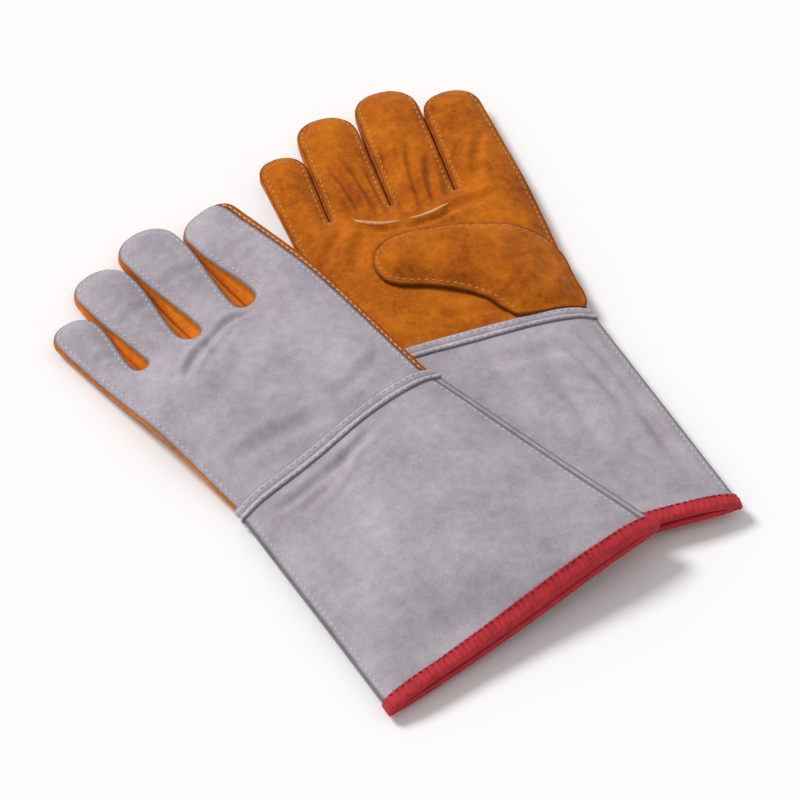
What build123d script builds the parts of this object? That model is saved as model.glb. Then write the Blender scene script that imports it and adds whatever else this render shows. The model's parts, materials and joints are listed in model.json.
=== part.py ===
"""A pair of long leather welding gloves, laid one over the other.

The right glove lies palm up. The left glove lies back up across its cuff. Each glove is sewn from
flat cut leather: a back, a palm, four finger stalls, a thumb stall, a two-panel cuff with a bound
hem, and a loose cotton lining.

A glove's own frame: origin in the middle of the wrist seam at half thickness, +X to the thumb side,
+Y to the fingertips, +Z to the back of the hand. The right glove is the mirror image of the left
one. The pair's frame has +Z up from the surface that they lie on and its origin at the bottom
centre of the pair. Sizes are millimetres.
"""

import os

from build123d import *

# --- driving dimensions ---------------------------------------------------------------------------
leather = 1.6  # split cowhide
cotton = 1.2  # fleece lining
slack = 0.15  # between the lining and the leather round it

hand_length = 107.0  # wrist seam to the finger stalls
wrist_half = 66.5
knuckle_half = 68.5
hand_crown = 8.0  # half thickness on the centre line
hand_edge = 3.2  # half thickness along the side seams

cuff_length = 160.0
hem_half = 92.0
hem_crown = 6.5
hem_edge = 2.6
wrist_gap = 1.0  # from the wrist seam to the panel on each side of it

finger_crown = 8.0
finger_edge = 5.2
finger_gap = 1.0  # between one stall and the next
knuckle_gap = 0.3  # between the hand and the stalls
curl_range = 80.0

# stall: (side that faces the little finger, side that faces the thumb, tip's centre, tip's width, length)
stalls = {
    "little": (-68.5, -45.0, -55.5, 25.0, 58.0),
    "ring": (-44.0, -9.5, -23.5, 31.0, 79.0),
    "middle": (-8.5, 28.0, 15.5, 32.0, 87.0),
    "index": (29.0, 68.5, 51.5, 31.0, 76.0),
}

thumb_pivot = {"left": (18.0, 41.0), "right": (32.0, 36.0)}
thumb_angle = 160.0  # where the thumb points, from +X towards +Y
thumb_reach = 72.0  # pivot to the tip
thumb_root = 21.0  # half width at the pivot
thumb_tip = 18.0  # half width at the tip
thumb_hole = 15.0  # radius of the way from the palm into the thumb
thumb_gap = 0.4  # between the palm and the thumb on it
thumb_thickness = {"left": 8.4, "right": 13.0}  # the left thumb is pressed flat under its palm
thumb_range = (-38.0, 20.0)

strip_width = 9.0
strip_thickness = 1.2
binding_width = 12.0
binding_thickness = 1.3
fit = 0.15  # strip and binding over the leather that they wrap

fan = 9.75  # each glove's turn away from the pair's +Y
hand_pitch = 4.2  # the left hand's slope down to its fingertips
roll = 4.0  # the left glove's slope down to its little finger, where nothing is under it
stack = 2 * hand_crown - 1.0  # left wrist above the right one
side_step = 2 * wrist_half + thumb_root - 49.3  # right wrist to the +X side, clear of the left thumb
length_step = 30.9  # right wrist further along +Y
lift_travel = 200.0


# --- outlines -------------------------------------------------------------------------------------
def lens(half, crown, edge, centre=0.0, mode=Mode.ADD):
    """Fills the section of a whole tube: two shallow arches joined by short upright sides."""
    left, right = centre - half, centre + half
    with BuildLine() as path:
        ThreePointArc((left, edge), (centre, crown), (right, edge))
        Line((right, edge), (right, -edge))
        ThreePointArc((right, -edge), (centre, -crown), (left, -edge))
        Line((left, -edge), (left, edge))
    make_face(path.edges(), mode=mode)


def arch(half, crown, edge, up, centre=0.0):
    """Fills the section of one leather panel: an arch on the back side (up = 1) or the palm side (-1)."""
    left, right = centre - half, centre + half
    inner_edge, inner_crown = edge - leather, crown - leather
    with BuildLine() as path:
        ThreePointArc((left, up * edge), (centre, up * crown), (right, up * edge))
        Line((right, up * edge), (right, up * inner_edge))
        ThreePointArc((right, up * inner_edge), (centre, up * inner_crown), (left, up * inner_edge))
        Line((left, up * inner_edge), (left, up * edge))
    make_face(path.edges())


def across(y):
    """The upright plane across the glove at y, with its own x along +X and its own y along +Z."""
    return Plane.XZ.offset(-y)


def stall_outline(stall, inset=0.0, back=0.0):
    """Fills a stall's plan, inset all round except at its base, which moves back."""
    left, right, tip_x, tip_width, length = stalls[stall]
    tip_half = tip_width / 2 - inset
    shoulder = hand_length + length - tip_width / 2
    base = hand_length + knuckle_gap - back
    with BuildLine() as path:
        Line((left + inset, base), (right - inset, base))
        Line((right - inset, base), (tip_x + tip_half, shoulder))
        ThreePointArc(
            (tip_x + tip_half, shoulder),
            (tip_x, hand_length + length - inset),
            (tip_x - tip_half, shoulder),
        )
        Line((tip_x - tip_half, shoulder), (left + inset, base))
    make_face(path.edges())


def thumb_outline(inset=0.0, mode=Mode.ADD):
    """Fills the thumb's plan about its pivot, pointing along +X: a round root and a round tip."""
    root, tip = thumb_root - inset, thumb_tip - inset
    tip_start = thumb_reach - thumb_tip
    with BuildLine() as path:
        ThreePointArc((0, root), (-root, 0), (0, -root))
        Line((0, -root), (tip_start, -tip))
        ThreePointArc((tip_start, -tip), (tip_start + tip, 0), (tip_start, tip))
        Line((tip_start, tip), (0, root))
    make_face(path.edges(), mode=mode)


# --- hand -----------------------------------------------------------------------------------------
def hand_panel(up, pivot):
    """Back (up = 1) or palm (up = -1) of the hand. The palm has the way into the thumb."""
    with BuildPart() as panel:
        with BuildSketch(across(wrist_gap)):
            arch(wrist_half, hand_crown, hand_edge, up)
        with BuildSketch(across(hand_length)):
            arch(knuckle_half, hand_crown, hand_edge, up)
        loft()
        if up < 0:
            with BuildSketch(Plane.XY.offset(-hand_crown - leather)):
                with Locations(pivot):
                    Circle(thumb_hole)
            extrude(amount=hand_crown, mode=Mode.SUBTRACT)
    return panel.part


def hand_lining(pivot):
    """Cotton bag that lines the hand, open to the cuff, the stalls and the thumb."""
    drop = leather + slack
    near, far = wrist_gap, hand_length - 2 * leather - slack
    with BuildPart() as lining:
        for inset, mode in ((0.0, Mode.ADD), (cotton, Mode.SUBTRACT)):
            low = hand_edge - drop - inset
            with BuildSketch(across(near)):
                lens(wrist_half - drop - inset, hand_crown - drop - inset, max(low, 0.2))
            with BuildSketch(across(far)):
                lens(knuckle_half - drop - inset, hand_crown - drop - inset, max(low, 0.2))
            loft(mode=mode)
        with BuildSketch(Plane.XY.offset(-hand_crown)):
            with Locations(pivot):
                Circle(thumb_hole)
        extrude(amount=hand_crown, mode=Mode.SUBTRACT)
    return lining.part


def crotch_gussets():
    """Small leather gussets that close the hand between one stall and the next."""
    names = list(stalls)
    ends = [(stalls[a][1] + stalls[b][0]) / 2 for a, b in zip(names, names[1:])]
    depth = 2 * leather
    with BuildPart() as gussets:
        with BuildSketch(Plane.XY.offset(-hand_crown)):
            with Locations(*[(x, hand_length - depth / 2) for x in ends]):
                Rectangle(2 * leather + finger_gap, depth)
        extrude(amount=2 * hand_crown)
        with BuildSketch(across(hand_length - depth)):
            lens(knuckle_half, hand_crown - leather - slack, hand_edge - leather)
        extrude(amount=-depth, mode=Mode.INTERSECT)
    return gussets.part


def side_welt(near, far, near_half, far_half, height, side):
    """Leather welt in a side seam, from near to far along the glove, between back and palm."""
    with BuildPart() as welt:
        with BuildSketch(Plane.XY.offset(-height)):
            with BuildLine():
                Polyline(
                    (side * near_half, near),
                    (side * far_half, far),
                    (side * (far_half - leather), far),
                    (side * (near_half - leather), near),
                    close=True,
                )
            make_face()
        extrude(amount=2 * height)
    return welt.part


# --- finger stalls --------------------------------------------------------------------------------
def stall_sections(stall, inset, back):
    """Where a stall's base and tip sections stand: (y, half width, centre) for each."""
    left, right, tip_x, tip_width, length = stalls[stall]
    base = (hand_length + knuckle_gap - back, (right - left) / 2 - inset, (left + right) / 2)
    tip = (hand_length + length, tip_width / 2 - inset, tip_x)
    return base, tip


def stall_panel(stall, up):
    """Back (up = 1) or palm (up = -1) of one stall, trimmed to its round tip."""
    with BuildPart() as panel:
        for y, half, centre in stall_sections(stall, 0.0, 0.0):
            with BuildSketch(across(y)):
                arch(half, finger_crown, finger_edge, up, centre)
        loft()
        with BuildSketch(Plane.XY.offset(-finger_crown)):
            stall_outline(stall)
        extrude(amount=2 * finger_crown, mode=Mode.INTERSECT)
    return panel.part


def stall_fourchette(stall):
    """Side strip of one stall, from its base round the tip and back, between back and palm."""
    height = finger_edge - leather
    with BuildPart() as strip:
        with BuildSketch(Plane.XY.offset(-height)):
            stall_outline(stall)
        extrude(amount=2 * height)
        with BuildSketch(Plane.XY.offset(-height)):
            stall_outline(stall, inset=leather, back=finger_gap)
        extrude(amount=2 * height, mode=Mode.SUBTRACT)
    return strip.part


def stall_lining(stall):
    """Cotton finger of the lining, closed at the tip and open at its base."""
    with BuildPart() as lining:
        for inset, back, mode in (
            (leather + slack, 0.0, Mode.ADD),
            (leather + slack + cotton, finger_gap, Mode.SUBTRACT),
        ):
            with BuildPart(mode=Mode.PRIVATE) as core:
                for y, half, centre in stall_sections(stall, inset, back):
                    with BuildSketch(across(y)):
                        lens(half, finger_crown - inset, finger_edge - inset, centre)
                loft()
                with BuildSketch(Plane.XY.offset(-finger_crown)):
                    stall_outline(stall, inset, back)
                extrude(amount=2 * finger_crown, mode=Mode.INTERSECT)
            add(core.part, mode=mode)
    return lining.part


# --- thumb stall ----------------------------------------------------------------------------------
def thumb_plane(pivot, depth):
    """The plane of the thumb's plan, depth below the palm's crown."""
    return Plane((*pivot, -hand_crown - depth)).rotated((0, 0, thumb_angle))


def thumb_panel(pivot, near, far, hole):
    """One leather face of the thumb, between two depths below the palm."""
    with BuildPart() as panel:
        with BuildSketch(thumb_plane(pivot, far)):
            thumb_outline()
            if hole:
                Circle(thumb_hole, mode=Mode.SUBTRACT)
        extrude(amount=far - near)
    return panel.part


def thumb_strip(pivot, near, far):
    """Wall of the thumb between two depths, open at the root where it joins the hand."""
    with BuildPart() as strip:
        with BuildSketch(thumb_plane(pivot, far)):
            thumb_outline()
            thumb_outline(leather, Mode.SUBTRACT)
            with Locations((-thumb_root, 0)):
                Rectangle(2 * thumb_root, 3 * thumb_root, mode=Mode.SUBTRACT)
        extrude(amount=far - near)
    return strip.part


# --- cuff -----------------------------------------------------------------------------------------
def cuff_panel(up):
    """Back (up = 1) or palm (up = -1) of the cuff, flaring from the wrist seam to the hem."""
    with BuildPart() as panel:
        with BuildSketch(across(-wrist_gap)):
            arch(wrist_half, hand_crown, hand_edge, up)
        with BuildSketch(across(-cuff_length)):
            arch(hem_half, hem_crown, hem_edge, up)
        loft()
    return panel.part


def cuff_lining():
    """Cotton sleeve inside the cuff."""
    drop = leather + slack
    with BuildPart() as lining:
        for inset, mode in ((0.0, Mode.ADD), (cotton, Mode.SUBTRACT)):
            for y, half, crown, edge in (
                (-wrist_gap, wrist_half, hand_crown, hand_edge),
                (-cuff_length, hem_half, hem_crown, hem_edge),
            ):
                with BuildSketch(across(y)):
                    lens(half - drop - inset, crown - drop - inset, max(edge - drop - inset, 0.2))
            loft(mode=mode)
    return lining.part


def wrist_strip():
    """Folded leather strip sewn round the cuff just below the wrist seam."""
    near, far = -wrist_gap, -wrist_gap - strip_width
    flare = (hem_half - wrist_half) / cuff_length
    widest = wrist_half + flare * (wrist_gap + strip_width)
    inner = (widest + fit, hand_crown + fit, hand_edge + fit)
    with BuildPart() as strip:
        with BuildSketch(across(near)):
            lens(*[size + strip_thickness for size in inner])
            lens(*inner, mode=Mode.SUBTRACT)
        extrude(amount=near - far)
    return strip.part


def hem_binding():
    """Folded tape over the raw hem: a skirt round the outside and a lip over the cut edges."""
    share = binding_width / cuff_length  # how much of the cuff's thickening the tape spans
    thicker = max(0.0, share * (hand_crown - hem_crown))
    deeper = max(0.0, share * (hand_edge - hem_edge))
    outer = (hem_half + fit, hem_crown + thicker + fit, hem_edge + deeper + fit)
    drop = leather + slack + cotton
    mouth = (hem_half - drop, hem_crown - drop, 0.2)
    hem = -cuff_length - fit
    with BuildPart() as binding:
        with BuildSketch(across(hem - binding_thickness)):
            lens(*[size + binding_thickness for size in outer])
        extrude(amount=-binding_width)
        with BuildSketch(across(hem)):
            lens(*outer)
        extrude(amount=-binding_width, mode=Mode.SUBTRACT)
        with BuildSketch(across(hem - binding_thickness)):
            lens(*mouth)
        extrude(amount=-binding_width, mode=Mode.SUBTRACT)
    return binding.part


# --- one glove ------------------------------------------------------------------------------------
def glove_pieces(side):
    """Every piece of one glove in the glove's own frame, as {name: (piece, is it on the cuff)}."""
    pivot, thick = thumb_pivot[side], thumb_thickness[side]
    flat = thumb_gap + leather
    deep = thumb_gap + thick - leather
    welt_hand, welt_cuff = hand_edge - leather, hem_edge - leather
    hand_run = (wrist_gap, hand_length, wrist_half, knuckle_half, welt_hand)
    cuff_run = (-wrist_gap, -cuff_length, wrist_half, hem_half, welt_cuff)
    pieces = {
        "hand_back": (hand_panel(1, pivot), False),
        "hand_palm": (hand_panel(-1, pivot), False),
        "hand_lining": (hand_lining(pivot), False),
        "crotch_gussets": (crotch_gussets(), False),
        "hand_side_welts": (Compound([side_welt(*hand_run, s) for s in (-1, 1)]), False),
        "cuff_back": (cuff_panel(1), True),
        "cuff_palm": (cuff_panel(-1), True),
        "cuff_lining": (cuff_lining(), True),
        "cuff_side_welts": (Compound([side_welt(*cuff_run, s) for s in (-1, 1)]), True),
        "wrist_strip": (wrist_strip(), True),
        "hem_binding": (hem_binding(), True),
        "thumb_inner": (thumb_panel(pivot, thumb_gap, flat, True), False),
        "thumb_outer": (thumb_panel(pivot, deep, deep + leather, False), False),
        "thumb_gusset": (thumb_strip(pivot, flat, deep), False),
    }
    for stall in stalls:
        pieces[f"{stall}_back"] = (stall_panel(stall, 1), False)
        pieces[f"{stall}_palm"] = (stall_panel(stall, -1), False)
        pieces[f"{stall}_fourchette"] = (stall_fourchette(stall), False)
        pieces[f"{stall}_lining"] = (stall_lining(stall), False)
    return pieces


# --- the pair -------------------------------------------------------------------------------------
left_cuff = Location((0, 0, stack)) * Location((0, 0, 0), (0, 0, fan)) * Location((0, 0, 0), (0, -roll, 0))
left_hand = left_cuff * Location((0, 0, 0), (-hand_pitch, 0, 0))
right_place = Location((side_step, length_step, 0)) * Location((0, 0, 0), (0, 0, -fan))

placed = {}
for name, (piece, on_cuff) in glove_pieces("left").items():
    placed[f"left_{name}"] = piece.moved(left_cuff if on_cuff else left_hand)
for name, (piece, on_cuff) in glove_pieces("right").items():
    placed[f"right_{name}"] = mirror(piece, about=Plane.XY).moved(right_place)

box = Compound(list(placed.values())).bounding_box()
to_origin = Location((-(box.min.X + box.max.X) / 2, -(box.min.Y + box.max.Y) / 2, -box.min.Z))

os.makedirs("parts", exist_ok=True)
for name, piece in placed.items():
    piece = piece.moved(to_origin)
    piece.label = name
    export_step(piece, f"parts/{name}.step")
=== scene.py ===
import json
import math

import bmesh
import bpy
import numpy as np
from mathutils import Matrix, Vector, geometry, noise
from mathutils.bvhtree import BVHTree


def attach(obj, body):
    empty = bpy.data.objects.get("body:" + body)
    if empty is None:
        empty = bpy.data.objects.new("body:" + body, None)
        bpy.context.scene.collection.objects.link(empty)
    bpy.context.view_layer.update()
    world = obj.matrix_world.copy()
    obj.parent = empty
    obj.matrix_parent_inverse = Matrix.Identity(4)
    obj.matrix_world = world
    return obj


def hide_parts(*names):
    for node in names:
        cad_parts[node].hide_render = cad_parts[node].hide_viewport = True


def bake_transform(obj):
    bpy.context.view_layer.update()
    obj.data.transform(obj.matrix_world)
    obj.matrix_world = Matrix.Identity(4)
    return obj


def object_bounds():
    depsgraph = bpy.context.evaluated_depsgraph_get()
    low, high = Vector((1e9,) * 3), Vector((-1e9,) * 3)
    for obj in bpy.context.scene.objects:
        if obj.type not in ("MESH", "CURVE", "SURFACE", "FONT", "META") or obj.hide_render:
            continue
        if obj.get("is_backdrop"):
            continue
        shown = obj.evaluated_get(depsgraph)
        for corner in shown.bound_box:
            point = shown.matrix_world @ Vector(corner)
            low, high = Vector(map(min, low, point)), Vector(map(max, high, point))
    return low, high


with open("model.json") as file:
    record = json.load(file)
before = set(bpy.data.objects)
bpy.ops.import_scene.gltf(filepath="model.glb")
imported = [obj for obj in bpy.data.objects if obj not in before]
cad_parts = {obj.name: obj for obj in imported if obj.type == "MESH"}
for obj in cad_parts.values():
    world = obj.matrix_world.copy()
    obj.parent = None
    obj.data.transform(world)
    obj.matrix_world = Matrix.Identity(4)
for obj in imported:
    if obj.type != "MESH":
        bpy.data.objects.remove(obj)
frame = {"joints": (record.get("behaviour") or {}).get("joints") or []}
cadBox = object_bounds()
bpy.ops.object.select_all(action="DESELECT")
mm = 0.001

# lengths below are millimetres in a glove's own frame: the middle of the wrist seam is the origin,
# x runs to the thumb side, y to the fingertips and z to the back of the hand

fan = math.radians(9.75)
pitch = math.radians(-4.2)
lean = math.radians(-4.0)


def jointOf(name):
    return next(j for j in frame["joints"] if j["name"] == name)


def turnX(a):
    return Matrix.Rotation(a, 4, "X")


def turnY(a):
    return Matrix.Rotation(a, 4, "Y")


def turnZ(a):
    return Matrix.Rotation(a, 4, "Z")


# each glove is found from its own ring finger's fold, so it stays with the frame
foldAt = (-26.75, 107.3, 8.0)
leftTurn = turnZ(fan) @ turnY(lean) @ turnX(pitch)
rightTurn = turnZ(-fan)
leftFold = Vector(jointOf("left_ring_curl")["pos_m"]) / mm
rightFold = Vector(jointOf("right_ring_curl")["pos_m"]) / mm
leftOrigin = leftFold - leftTurn @ Vector((foldAt[0], foldAt[1], -foldAt[2]))
rightOrigin = rightFold - rightTurn @ Vector(foldAt)
leftPlace = Matrix.Translation(leftOrigin) @ leftTurn
leftCuffPlace = Matrix.Translation(leftOrigin) @ turnZ(fan) @ turnY(lean)
rightPlace = Matrix.Translation(rightOrigin) @ rightTurn
print("gloves found at", [round(v, 1) for v in leftOrigin], [round(v, 1) for v in rightOrigin])

# camera
camera = dict(
    azimuth=-29.7,
    elevation=47.7,
    distance=4.0,
    lens=335.4,
    target=(-0.008, -0.0131, 0.015),
)


def addCamera(c):
    a, e = math.radians(c["azimuth"]), math.radians(c["elevation"])
    back = Vector((math.sin(a) * math.cos(e), -math.cos(a) * math.cos(e), math.sin(e)))
    data = bpy.data.cameras.new("camera")
    data.lens = c["lens"]
    data.sensor_width = 36
    data.clip_end = 50
    cam = bpy.data.objects.new("camera", data)
    bpy.context.collection.objects.link(cam)
    cam.location = Vector(c["target"]) + back * c["distance"]
    cam.rotation_euler = (-back).to_track_quat("-Z", "Y").to_euler()
    bpy.context.scene.camera = cam
    return cam


addCamera(camera)

# small helpers


def smooth(t):
    t = np.clip(t, 0, 1)
    return t * t * (3 - 2 * t)


def mixed(a, b, t):
    return a + (b - a) * t


def distanceTo(points, path, values=None):
    # distance of each point to a polyline, with the value or share of length at the nearest place
    a, b = path[:-1], path[1:]
    run = b - a
    size = np.maximum((run**2).sum(1), 1e-9)
    along = np.concatenate([[0], np.cumsum(np.sqrt(size))])
    if values is None:
        values = along / along[-1]
    best = np.full(len(points), 1e9)
    at = np.zeros(len(points))
    for start in range(0, len(points), 4000):
        p = points[start : start + 4000]
        t = np.clip(((p[:, None] - a[None]) * run[None]).sum(2) / size[None], 0, 1)
        gap = np.sqrt(((a[None] + run[None] * t[..., None] - p[:, None]) ** 2).sum(2))
        k = gap.argmin(1)
        row = np.arange(len(p))
        best[start : start + 4000] = gap[row, k]
        at[start : start + 4000] = values[k] + (values[k + 1] - values[k]) * t[row, k]
    return best, at


def insideOf(points, loop):
    a, b = loop, np.roll(loop, -1, 0)
    hit = np.zeros(len(points), bool)
    for p, q in zip(a, b):
        if p[1] == q[1]:
            continue
        cross = (p[1] > points[:, 1]) != (q[1] > points[:, 1])
        x = (q[0] - p[0]) * (points[:, 1] - p[1]) / (q[1] - p[1]) + p[0]
        hit ^= cross & (points[:, 0] < x)
    return hit


def waves(points, size, seed):
    # slow uneven swelling of soft leather, about -1 to 1
    out = np.empty(len(points))
    for k, p in enumerate(points):
        out[k] = noise.noise(Vector((p[0] / size + seed * 7.3, p[1] / size - seed * 3.1, seed)))
    return out


# the hand and its stalls
hand = dict(
    wrist=66.0,
    knuckle=68.5,
    cut=107.3,
    spacing=2.5,
    flange=2.4,
    crown=7.6,
    wrap=5.0,
    sag=2.6,
    sagReach=9.0,
    wristPoints=52,
    backInset=0.2,
    tipStep=1.2,
    tipPoints=20,
    planX=72,
    planY=200,
)
stalls = {
    "little": dict(tip=(-56.0, 166.0), half=13.4),
    "ring": dict(tip=(-23.7, 187.0), half=17.3),
    "middle": dict(tip=(14.0, 195.5), half=18.1),
    "index": dict(tip=(49.5, 183.5), half=16.9),
}
slits = [
    dict(x=-44.6, y=108.8, back=4.6),
    dict(x=-8.8, y=109.5, back=6.6),
    dict(x=28.6, y=108.6, back=6.4),
]
palmSlit = 0.35
regionNames = ["hand"] + list(stalls)


def regionOf(x, y):
    # 0 for the hand's own leather, then the number of the stall that a point of the plan lies on
    return 0 if y < hand["cut"] else 1 + sum(x > s["x"] for s in slits)


def sideX(y):
    return mixed(hand["wrist"], hand["knuckle"], smooth(y / hand["cut"]))


def handOutline(back):
    # clockwise from the wrist on the little finger's side, with as many points for either sheet
    pts, kinds = [], []

    def run(p, q, n, kind, pinch=0.0):
        # a slit's edges keep close together for most of the way and then part round its base
        for k in range(n):
            t = k / n
            away = t if q[1] < p[1] else 1 - t
            ease = (1 - smooth((away - 0.1) / 0.9)) - (1 - away)
            pts.append((mixed(p[0], q[0], t) + pinch * ease, mixed(p[1], q[1], t)))
            kinds.append(kind)

    n = round(hand["cut"] / hand["spacing"])
    for k in range(n):
        y = hand["cut"] * k / n
        pts.append((-sideX(y), y))
        kinds.append("side")
    start = (-hand["knuckle"], hand["cut"])
    names = list(stalls)
    for k, name in enumerate(names):
        s = stalls[name]
        inLeft = 0.0 if k == 0 or not back else hand["backInset"]
        inRight = 0.0 if k == 3 or not back else hand["backInset"]
        tx, ty = s["tip"]
        left, right = tx - s["half"] + inLeft, tx + s["half"] - inRight
        shoulder = ty - s["half"] * 0.95
        top = ty - (hand["tipStep"] if back else 0.0)
        rows = round((ty - s["half"] - 109) / hand["spacing"])
        parting = slits[k - 1]["back"] if back and k else 0.0
        run(start, (left, shoulder), rows, "side" if k == 0 else "slit", -parting)
        middle, half = (left + right) / 2, (right - left) / 2
        for j in range(hand["tipPoints"]):
            a = math.pi * (1 - j / hand["tipPoints"])
            c, v = math.cos(a), math.sin(a)
            x = middle + half * math.copysign(abs(c) ** 0.9, c)
            pts.append((x, shoulder + (top - shoulder) * v**0.85))
            kinds.append("tip")
        if k < 3:
            w = slits[k]["back"] if back else palmSlit
            y = slits[k]["y"] + w
            parting = slits[k]["back"] if back else 0.0
            run((right, shoulder), (slits[k]["x"] - w, y), rows, "slit", parting)
            for j in range(8):
                a = math.pi * (1 + j / 8)
                pts.append((slits[k]["x"] + w * math.cos(a), y + w * math.sin(a)))
                kinds.append("slit")
            start = (slits[k]["x"] + w, y)
        else:
            run((right, shoulder), (hand["knuckle"], hand["cut"]), rows, "side")
    for k in range(n):
        y = hand["cut"] * (1 - k / n)
        pts.append((sideX(y), y))
        kinds.append("side")
    wrapX = hand["wrist"] - hand["wrap"]
    run((hand["wrist"], 0), (wrapX, 0), 2, "wrist")
    run((wrapX, 0), (-hand["wrist"], 0), hand["wristPoints"] - 2, "wrist")
    return np.array(pts), np.array(kinds)


def openLine(outline):
    # the outline without its wrist edge, which is sewn to the cuff
    return outline[: len(outline) - hand["wristPoints"] + 1]


def wrapLine(outline):
    # where palm leather that wraps the thumb side ends on the back, from the wrist to the index tip
    shoulder = stalls["index"]["tip"][1] - stalls["index"]["half"] * 0.95
    ys = np.linspace(0, shoulder, 66)
    ys[np.abs(ys - hand["cut"]).argmin()] = hand["cut"]
    tx, ty = stalls["index"]["tip"]
    stallShare = (ys - hand["cut"]) / (shoulder - hand["cut"])
    stallSide = mixed(hand["knuckle"], tx + stalls["index"]["half"], stallShare)
    right = np.where(ys < hand["cut"], sideX(ys), stallSide)
    line = [(x - hand["wrap"], y) for x, y in zip(right, ys)]
    near = [k for k in range(len(outline)) if outline[k][0] > tx + 6 and outline[k][1] > ty - 6]
    end = outline[near[len(near) // 2]]
    last = line[-1]
    for t in (0.25, 0.5, 0.75):
        line.append((mixed(last[0], end[0], t), mixed(last[1], end[1], t)))
    line.append(tuple(end))
    return np.array(line)


def planGrid(xs, ys, step, outline):
    # an even triangle grid of points inside an outline
    grid = np.array([(x + (step / 2 if j % 2 else 0), y) for j, y in enumerate(ys) for x in xs])
    return grid[insideOf(grid, outline)]


def planTriangles(points, edges, outline):
    # triangles that all face up, kept inside the outline, without slivers
    out = geometry.delaunay_2d_cdt([Vector(p) for p in points], edges, [], 1, 1e-5)
    flat = np.array([tuple(v) for v in out[0]])
    faces = np.array(out[2])
    faces = faces[insideOf(flat[faces].mean(1), outline)]
    a, b, c = (flat[faces[:, k]] for k in range(3))
    area = (b[:, 0] - a[:, 0]) * (c[:, 1] - a[:, 1]) - (b[:, 1] - a[:, 1]) * (c[:, 0] - a[:, 0])
    faces[area < 0] = faces[area < 0][:, ::-1]
    return flat, faces[np.abs(area) > 1e-4]


def sheetMesh(back):
    outline, kinds = handOutline(back)
    n = len(outline)
    verts = [tuple(p) for p in outline]
    edges = [(k, (k + 1) % n) for k in range(n)]

    def vertexAt(p):
        gap = [(v[0] - p[0]) ** 2 + (v[1] - p[1]) ** 2 for v in verts]
        k = int(np.argmin(gap))
        if gap[k] < 0.01:
            return k
        verts.append(tuple(p))
        return len(verts) - 1

    step = hand["spacing"]
    wrapMark = [hand["knuckle"] - hand["wrap"]] if back else []
    marks = [-hand["knuckle"], *(s["x"] for s in slits), *wrapMark, hand["knuckle"]]
    across = []
    for a, b in zip(marks[:-1], marks[1:]):
        k = max(1, round((b - a) / step))
        across += [(mixed(a, b, j / k), hand["cut"]) for j in range(k)]
    across.append((hand["knuckle"], hand["cut"]))
    lines = [np.array(across)]
    lines += [np.array([(s["x"], hand["cut"]), (s["x"], s["y"])]) for s in slits]
    if back:
        lines.append(wrapLine(outline))
    for line in lines:
        ids = [vertexAt(p) for p in line]
        edges += [(a, b) for a, b in zip(ids[:-1], ids[1:]) if a != b]
    xs = np.arange(-hand["planX"], hand["planX"], step)
    grid = planGrid(xs, np.arange(0, hand["planY"], step * 0.866), step, outline)
    near = distanceTo(grid, np.vstack([outline, outline[:1]]))[0]
    for line in lines:
        near = np.minimum(near, distanceTo(grid, line)[0])
    verts += [tuple(p) for p in grid[near > step * 0.55]]
    return (*planTriangles(verts, edges, outline), outline, kinds)


def wallHeight(kinds):
    # half the height of the strip between the two sheets, all round the outline
    tall = {"side": 1.5, "tip": 2.6, "slit": 4.2, "wrist": 1.5}
    h = np.array([tall[k] for k in kinds])
    for _ in range(5):
        h = (np.roll(h, 1) + h + np.roll(h, -1)) / 3
    return h


def handHeight(points, outline, walls, upper):
    # how far a sheet stands from the glove's middle plane
    gap, edge = distanceTo(points, openLine(outline), openLine(walls))
    spread = 9.0 if upper else 4.5
    rise = 1 - np.exp(-np.maximum(gap - hand["flange"], 0) / spread)
    crown = mixed(hand["crown"] - 0.9, hand["crown"], smooth(points[:, 1] / 25))
    lip = 0.25 * smooth(gap / hand["flange"])
    return edge + lip + np.maximum(crown - edge, 1.5) * rise, gap


# a fold is a line through the glove's plan, its width, its depth (below zero stands proud)
# and how soft its ends are
def fold(points, line, width, depth, ends=0.25):
    gap, share = distanceTo(points, np.array(line, float))
    fade = smooth(share / ends) * smooth((1 - share) / ends)
    t = gap / width
    return -depth * np.exp(-(t**2)) * fade + 0.45 * depth * np.exp(-((t - 1.9) ** 2) * 1.4) * fade


def bowed(p, q, bow, n=12):
    p, q = np.array(p, float), np.array(q, float)
    t = np.linspace(0, 1, n)[:, None]
    side = np.array([-(q - p)[1], (q - p)[0]])
    side = side / np.hypot(*side)
    return p + (q - p) * t + side * (4 * bow * t * (1 - t))


# back of the left hand: the long crease runs from the slit before the index towards the wrist
longCrease = [(31, 96), (24, 101), (15, 103.5), (5, 103), (-6, 99), (-20, 93)]
longCrease += [(-33, 85), (-42, 76)]
backFolds = [
    (longCrease, 2.6, 2.3),
    (bowed((20, 90), (-46, 58), 5), 6.5, 1.3),
    (bowed((-52, 84), (-58, 30), -3), 5.0, 0.9),
    (bowed((-8, 103), (-14, 82), 1), 3.0, 1.1),
    (bowed((30, 102), (22, 86), 1), 3.0, 1.0),
    (bowed((-44, 102), (-42, 82), 1), 3.0, 1.0),
    (bowed((-60, 22), (10, 9), 4), 4.5, 1.3),
    (bowed((8, 16), (58, 26), -3), 4.0, 1.0),
    (bowed((-66, 128), (-47, 124), 2), 2.6, 0.6),
    (bowed((-38, 140), (-10, 144), 2), 3.0, 0.6),
    (bowed((-2, 150), (30, 148), 2), 3.2, 0.6),
    (bowed((34, 142), (64, 138), 2), 3.2, 0.6),
]

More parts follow.
